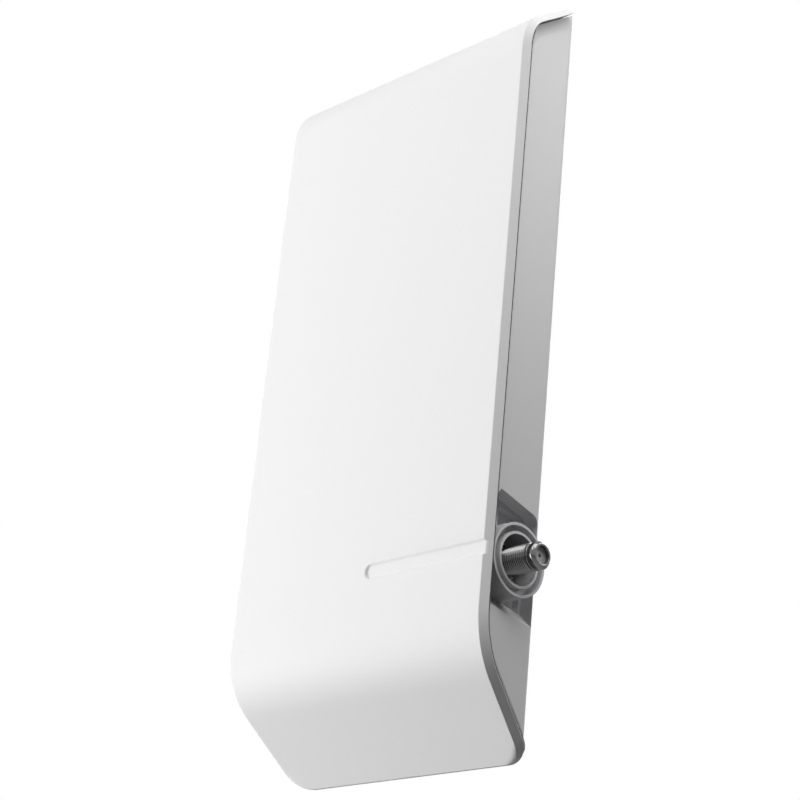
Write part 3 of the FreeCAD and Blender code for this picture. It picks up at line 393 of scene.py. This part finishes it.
# %% Turned profile with a helix
def turned_with_thread(stations, radii, turns):
    """Rings about the connector's axis.

    Inside the thread's stretch the radius dips by a cosine of the helix phase.
    """
    angle = np.linspace(0, 2 * math.pi, turns, endpoint=False)[None, :]
    x = np.broadcast_to(stations[:, None], (len(stations), turns))
    radius = np.broadcast_to(radii[:, None], x.shape)
    fade = (np.minimum(x - THREAD_START, THREAD_END - x) / THREAD_FADE).clip(0, 1)
    phase = 2 * math.pi * x / THREAD_PITCH - angle
    dip = THREAD_DEPTH * fade * (0.5 - 0.5 * np.cos(phase)) ** THREAD_ROUNDING
    on_thread = (x >= THREAD_START) & (x <= THREAD_END) & (radius > THREAD_LEAST_RADIUS)
    radius = radius - np.where(on_thread, dip, 0.0)
    y = CONNECTOR_Y + radius * np.cos(angle)
    z = CONNECTOR_Z + radius * np.sin(angle)
    return np.stack([x, y, z], axis=-1)


# Stations and radii in millimetres: flange, shank, thread, undercut, nose and bore.
BARREL_PROFILE = [
    (43.5, 3.1), (43.5, 6.7), (43.8, 7.0), (45.2, 7.0), (45.5, 6.7), (45.5, 4.2), (54.3, 4.2),
    (54.5, 4.7625), (67.4, 4.7625), (67.5, 4.3), (67.7, 4.2), (68.4, 4.2), (68.55, 4.3), (68.6, 4.6),
    (68.75, 4.7625), (70.2, 4.7625), (70.45, 4.65), (71.1, 3.95), (71.2, 3.8), (71.2, 3.2), (71.1, 3.1),
    (43.5, 3.1),
]


def profile_rings(profile):
    """Stations and radii of a turned profile, with short runs beside each corner so that it stays crisp."""
    points = np.array(profile) * MM
    start, end = points[:-1], points[1:]
    length = np.linalg.norm(end - start, axis=1)
    keep = np.minimum(CORNER_RUN / length, CORNER_MOST)[:, None]
    stacked = np.stack([start + (end - start) * keep, end - (end - start) * keep], axis=1).reshape(-1, 2)
    rings = np.concatenate([points[:1], stacked, points[-1:]])
    first = int(np.argmax(rings[:, 0] > THREAD_START))
    run_stations = np.linspace(THREAD_START, THREAD_END, THREAD_RINGS)
    run = np.stack([run_stations, np.full(THREAD_RINGS, THREAD_RADIUS)], axis=-1)
    last = first + int(np.argmax(rings[first:, 0] >= THREAD_END - RUN_OUT)) + 1
    return np.concatenate([rings[:first], run, rings[last:]])


# The profile ends where it starts, so its last ring goes and the grid is closed instead.
rings = profile_rings(BARREL_PROFILE)[:-1]
barrel_points = turned_with_thread(rings[:, 0], rings[:, 1], TURN_STEPS)
barrel = new_piece(
    "threaded_barrel",
    barrel_points,
    grid_quads(len(rings), TURN_STEPS, wrap=True, close=True),
    ["connector_body"],
)

# %% [markdown]
# ## Finishes
#
# Moulded plastic is never one flat colour: its gloss varies a little where the tool was polished, and a
# fine grain breaks up reflections. Metals show drawing or turning marks. Those effects are shared node
# groups, each built once with named sockets and placed in every material with its own values. The shader
# itself stays in the material.


# %% Node helpers
def new_group(name, inputs, outputs):
    """Shader node group with float or colour sockets; returns the tree and its two end nodes."""
    tree = bpy.data.node_groups.new(name, "ShaderNodeTree")
    for label, kind, default in inputs:
        socket = tree.interface.new_socket(label, in_out="INPUT", socket_type=f"NodeSocket{kind}")
        socket.default_value = default
    for label, kind in outputs:
        tree.interface.new_socket(label, in_out="OUTPUT", socket_type=f"NodeSocket{kind}")
    return tree, tree.nodes.new("NodeGroupInput"), tree.nodes.new("NodeGroupOutput")


def add_node(tree, kind, links=(), **settings):
    """Node with its settings; links pairs an input name or index with the output socket that feeds it."""
    node = tree.nodes.new(f"ShaderNode{kind}")
    for key, setting in settings.items():
        setattr(node, key, setting)
    for key, source in links:
        if isinstance(source, (int, float)):
            node.inputs[key].default_value = source
        else:
            tree.links.new(source, node.inputs[key])
    return node


def combine(tree, operation, first, second):
    """Value of a Math node that joins two others."""
    return add_node(tree, "Math", [(0, first), (1, second)], operation=operation).outputs[0]


def noise(tree, place, scale, detail):
    """Value of a noise at a place."""
    links = [("Vector", place), ("Scale", scale), ("Detail", detail)]
    return add_node(tree, "TexNoise", links).outputs["Fac"]


def remap(tree, value, old, new):
    """Value moved from one range to another, each a pair of low and high."""
    links = [(0, value), (1, old[0]), (2, old[1]), (3, new[0]), (4, new[1])]
    return add_node(tree, "MapRange", links).outputs[0]


# %% Shared effects
WHOLE = (0.0, 1.0)
NOISE_BAND = (0.3, 0.7)
TARNISH_BAND = (0.45, 0.75)
TARNISH_SCALE = 160.0


def make_moulded_skin():
    """Fine grain and slow drift of tone and gloss, as on moulded plastic."""
    tree, given, result = new_group(
        "moulded_skin",
        [
            ("Tone", "Color", (0.8, 0.8, 0.8, 1)),
            ("Tone Drift", "Float", 0.03),
            ("Drift Scale", "Float", 18.0),
            ("Gloss Low", "Float", 0.25),
            ("Gloss High", "Float", 0.35),
            ("Grain Scale", "Float", 2500.0),
        ],
        [("Colour", "Color"), ("Roughness", "Float"), ("Grain", "Float")],
    )
    place = add_node(tree, "TexCoord").outputs["Object"]
    drift = noise(tree, place, given.outputs["Drift Scale"], 3.0)
    speck = noise(tree, place, given.outputs["Grain Scale"], 2.0)
    centred = combine(tree, "SUBTRACT", drift, 0.5)
    shift = combine(tree, "MULTIPLY", centred, given.outputs["Tone Drift"])
    scale = combine(tree, "ADD", shift, 1.0)
    tint = add_node(tree, "VectorMath", [(0, given.outputs["Tone"]), ("Scale", scale)], operation="SCALE")
    gloss = remap(tree, drift, NOISE_BAND, (given.outputs["Gloss Low"], given.outputs["Gloss High"]))
    tree.links.new(tint.outputs[0], result.inputs["Colour"])
    tree.links.new(gloss, result.inputs["Roughness"])
    tree.links.new(speck, result.inputs["Grain"])
    return tree


def make_worked_metal():
    """Streaks along one direction and faint tarnish, as on drawn, rolled or turned metal."""
    tree, given, result = new_group(
        "worked_metal",
        [
            ("Tone", "Color", (0.7, 0.7, 0.7, 1)),
            ("Tarnish", "Color", (0.4, 0.38, 0.35, 1)),
            ("Tarnish Share", "Float", 0.2),
            ("Gloss Low", "Float", 0.2),
            ("Gloss High", "Float", 0.4),
            ("Streak", "Vector", (300.0, 3000.0, 3000.0)),
        ],
        [("Colour", "Color"), ("Roughness", "Float"), ("Streaks", "Float")],
    )
    place = add_node(tree, "TexCoord").outputs["Object"]
    stretched = add_node(tree, "VectorMath", [(0, place), (1, given.outputs["Streak"])], operation="MULTIPLY")
    streak = noise(tree, stretched.outputs[0], 1.0, 3.0)
    cloud = noise(tree, place, TARNISH_SCALE, 4.0)
    patch = remap(tree, cloud, TARNISH_BAND, WHOLE)
    share = combine(tree, "MULTIPLY", patch, given.outputs["Tarnish Share"])
    tint = add_node(tree, "Mix", data_type="RGBA")
    tree.links.new(share, tint.inputs["Factor"])
    tree.links.new(given.outputs["Tone"], tint.inputs[6])
    tree.links.new(given.outputs["Tarnish"], tint.inputs[7])
    gloss = remap(tree, streak, NOISE_BAND, (given.outputs["Gloss Low"], given.outputs["Gloss High"]))
    tree.links.new(tint.outputs[2], result.inputs["Colour"])
    tree.links.new(gloss, result.inputs["Roughness"])
    tree.links.new(streak, result.inputs["Streaks"])
    return tree


MOULDED = make_moulded_skin()
WORKED = make_worked_metal()


# %% Materials from the shared effects
RELIEF_HEIGHT = 0.02 * MM


def new_material(name, group, values, bump, metallic=0.0, sheen=0.5):
    """Principled material whose colour, roughness and bump come from one group with its own values."""
    material = bpy.data.materials.new(name)
    material.use_nodes = True
    tree = material.node_tree
    shader = tree.nodes["Principled BSDF"]
    effect = tree.nodes.new("ShaderNodeGroup")
    effect.node_tree = group
    for label, setting in values.items():
        effect.inputs[label].default_value = setting
    tree.links.new(effect.outputs["Colour"], shader.inputs["Base Color"])
    tree.links.new(effect.outputs["Roughness"], shader.inputs["Roughness"])
    relief = add_node(tree, "Bump", [("Height", effect.outputs[2])])
    relief.inputs["Strength"].default_value = bump
    relief.inputs["Distance"].default_value = RELIEF_HEIGHT
    tree.links.new(relief.outputs["Normal"], shader.inputs["Normal"])
    shader.inputs["Metallic"].default_value = metallic
    shader.inputs["Specular IOR Level"].default_value = sheen
    return material


def plastic(name, tone, low, high, grain=2500.0, drift=0.03, spread=18.0, bump=0.15, sheen=0.5):
    return new_material(name, MOULDED, {
        "Tone": (*tone, 1), "Tone Drift": drift, "Drift Scale": spread,
        "Gloss Low": low, "Gloss High": high, "Grain Scale": grain}, bump, sheen=sheen)


def metal(name, tone, tarnish, share, low, high, streak, bump=0.2):
    return new_material(name, WORKED, {
        "Tone": (*tone, 1), "Tarnish": (*tarnish, 1), "Tarnish Share": share,
        "Gloss Low": low, "Gloss High": high, "Streak": streak}, bump, metallic=1.0)


FINISHES = {
    "cover_white": plastic(
        "gloss_white", (0.88, 0.88, 0.88), 0.46, 0.50,
        grain=900.0, drift=0.01, spread=600.0, bump=0.02, sheen=0.12),
    "housing_grey": plastic(
        "satin_grey", (0.55, 0.55, 0.56), 0.42, 0.50, grain=2600.0, drift=0.02, spread=400.0, bump=0.15),
    "insulator_white": plastic("waxy_insulator", (0.36, 0.36, 0.36), 0.30, 0.42),
    # Real black rubber for the seals, and painted shade where it dresses the strips in the gap.
    "rubber_black": plastic(
        "black_rubber_and_gap_shade", (0.02, 0.02, 0.021), 0.55, 0.75, grain=1800.0, drift=0.2, bump=0.4),
    "board_green": plastic("green_resist", (0.03, 0.16, 0.07), 0.25, 0.35, grain=1500.0, drift=0.15),
    "chip_black": plastic(
        "moulded_black", (0.018, 0.018, 0.02), 0.45, 0.6, grain=4000.0, drift=0.2, bump=0.3),
    "spacer_white": plastic("spacer_white", (0.78, 0.78, 0.75), 0.4, 0.5),
    "ferrite": plastic(
        "sintered_ferrite", (0.055, 0.055, 0.058), 0.5, 0.7, grain=5000.0, drift=0.25, bump=0.5),
    # Painted dark reflection: the nickel's tone sits far below bare nickel, so the barrel mirrors pale world
    # as dark.
    "nickel": metal(
        "nickel_painted_dark_reflection", (0.15, 0.15, 0.153), (0.1, 0.1, 0.103),
        0.3, 0.12, 0.2, (2500.0, 300.0, 300.0), bump=0.05),
    "contact_brass": metal(
        "plated_brass", (0.80, 0.60, 0.30), (0.40, 0.26, 0.12), 0.3, 0.2, 0.4, (900.0, 900.0, 900.0)),
    "screw_steel": metal(
        "zinc_steel", (0.58, 0.58, 0.60), (0.30, 0.29, 0.27), 0.3, 0.25, 0.45, (900.0, 3000.0, 900.0)),
    "reflector_aluminium": metal(
        "rolled_aluminium", (0.80, 0.81, 0.82), (0.55, 0.56, 0.57),
        0.3, 0.28, 0.45, (2500.0, 2500.0, 120.0)),
    "copper": metal(
        "copper_foil", (0.86, 0.45, 0.28), (0.35, 0.16, 0.09), 0.4, 0.22, 0.42, (200.0, 2500.0, 2500.0)),
    "tinplate": metal(
        "tinned_sheet", (0.72, 0.72, 0.70), (0.45, 0.44, 0.42), 0.3, 0.22, 0.4, (150.0, 2500.0, 2500.0)),
}


# %% Put every finish on its pieces
def dress(piece, material):
    piece.data.materials.clear()
    piece.data.materials.append(material)


SLOT_OF = {row["node"]: row["material_slot"] for row in frame["record"]["subparts"]}
for node_name, node in frame["nodes"].items():
    dress(node, FINISHES[SLOT_OF[node_name]])
dress(cover, FINISHES["cover_white"])
dress(barrel, FINISHES["nickel"])
# The strips in the gap take the black rubber finish as painted shade.
for edge in gap_shade_strips:
    dress(edge, FINISHES["rubber_black"])
print("dressed", len(SLOT_OF), "nodes and", 2 + len(gap_shade_strips), "new pieces")

# %% [markdown]
# ## Light, floor and camera
#
# The portrait is a clean studio shot from below and from the right. A large lamp low on the left gives
# the front and the chin their white, smaller lamps near the top right let the side fall off from light to
# grey, and little reaches the chin's lip, so it stays dark. One lamp behind on the left serves the views
# from there. Floor and world are pale to the camera and in reflections only, so the background is white
# without more light on the antenna.

# %% Stage
FLOOR_Z = -0.62
FLOOR_REACH = 40.0
FLOOR_PALE = 0.7
FLOOR_BOUNCE = 0.18
FLOOR_GLOW = 0.35
FLOOR_ROUGHNESS = 0.9
WORLD_FILL = 0.0


def seen_rays(tree):
    """One for rays from the camera, from a mirror or through something clear, and zero for all others."""
    rays = add_node(tree, "LightPath").outputs
    mirrored = combine(tree, "MAXIMUM", rays["Is Glossy Ray"], rays["Is Transmission Ray"])
    return combine(tree, "MAXIMUM", rays["Is Camera Ray"], mirrored)


def make_floor():
    """Wide plain pale square under the antenna, which throws little light up at the chin."""
    low, high = -FLOOR_REACH, FLOOR_REACH
    corners = [(low, low, FLOOR_Z), (high, low, FLOOR_Z), (high, high, FLOOR_Z), (low, high, FLOOR_Z)]
    mesh = bpy.data.meshes.new("floor")
    mesh.from_pydata(corners, [], [(0, 1, 2, 3)])
    floor = bpy.data.objects.new("floor", mesh)
    bpy.context.scene.collection.objects.link(floor)
    material = bpy.data.materials.new("pale_floor")
    material.use_nodes = True
    tree = material.node_tree
    shader = tree.nodes["Principled BSDF"]
    shader.inputs["Roughness"].default_value = FLOOR_ROUGHNESS
    shader.inputs["Emission Color"].default_value = (1, 1, 1, 1)
    seen = seen_rays(tree)
    tone = remap(tree, seen, WHOLE, (FLOOR_BOUNCE, FLOOR_PALE))
    glow = remap(tree, seen, WHOLE, (0.0, FLOOR_GLOW))
    tree.links.new(tone, shader.inputs["Base Color"])
    tree.links.new(glow, shader.inputs["Emission Strength"])
    mesh.materials.append(material)


def make_world():
    """White to the camera, in reflections and through clear parts, and the fill's level otherwise."""
    world = bpy.data.worlds.new("studio")
    bpy.context.scene.world = world
    world.use_nodes = True
    tree = world.node_tree
    background = tree.nodes["Background"]
    background.inputs["Color"].default_value = (1, 1, 1, 1)
    strength = remap(tree, seen_rays(tree), WHOLE, (WORLD_FILL, 1.0))
    tree.links.new(strength, background.inputs["Strength"])


def make_light(name, place, size, power):
    """Square lamp that faces the origin."""
    data = bpy.data.lights.new(name, "AREA")
    data.size = size
    data.energy = power
    light = bpy.data.objects.new(name, data)
    light.location = place
    light.rotation_euler = (-Vector(place)).to_track_quat("-Z", "Y").to_euler()
    bpy.context.scene.collection.objects.link(light)


# Name, place in metres, width in metres and power in watts.
LAMPS = [
    ("key", (-0.75, -1.05, 0.75), 0.6, 1.0),
    ("left", (-1.3, -0.4, 0.2), 0.6, 1.6),
    ("low_left", (-0.9, -0.8, -0.45), 0.9, 25.0),
    ("top_right", (0.55, -0.1, 0.65), 0.5, 3.1),
    ("front_right", (0.45, -0.7, 0.7), 0.5, 3.9),
    ("back_right", (0.50, 0.6, 0.55), 0.4, 3.5),
    ("back_left", (-0.8, 1.0, 0.7), 0.8, 8.0),
]
make_floor()
make_world()
for lamp_name, place, size, power in LAMPS:
    make_light(lamp_name, place, size, power)

# %% Camera
EYE = Vector((501.8, -499.2, -299.7)) * MM
GAZE = Vector((-0.6683, 0.6360, 0.3859)).normalized()
UP = Vector((0.2114, -0.3350, 0.9182))
LENS_MM = 94.29
CLIP_START = 0.01


def make_camera():
    """Camera at the portrait's own place, turn and lens."""
    right = GAZE.cross(UP).normalized()
    above = right.cross(GAZE)
    data = bpy.data.cameras.new("camera")
    data.lens = LENS_MM
    data.clip_start = CLIP_START
    camera = bpy.data.objects.new("camera", data)
    turn = Matrix((right, above, -GAZE)).transposed().to_4x4()
    camera.matrix_world = Matrix.Translation(EYE) @ turn
    bpy.context.scene.collection.objects.link(camera)
    bpy.context.scene.camera = camera


make_camera()
bpy.context.scene.view_settings.view_transform = "Standard"
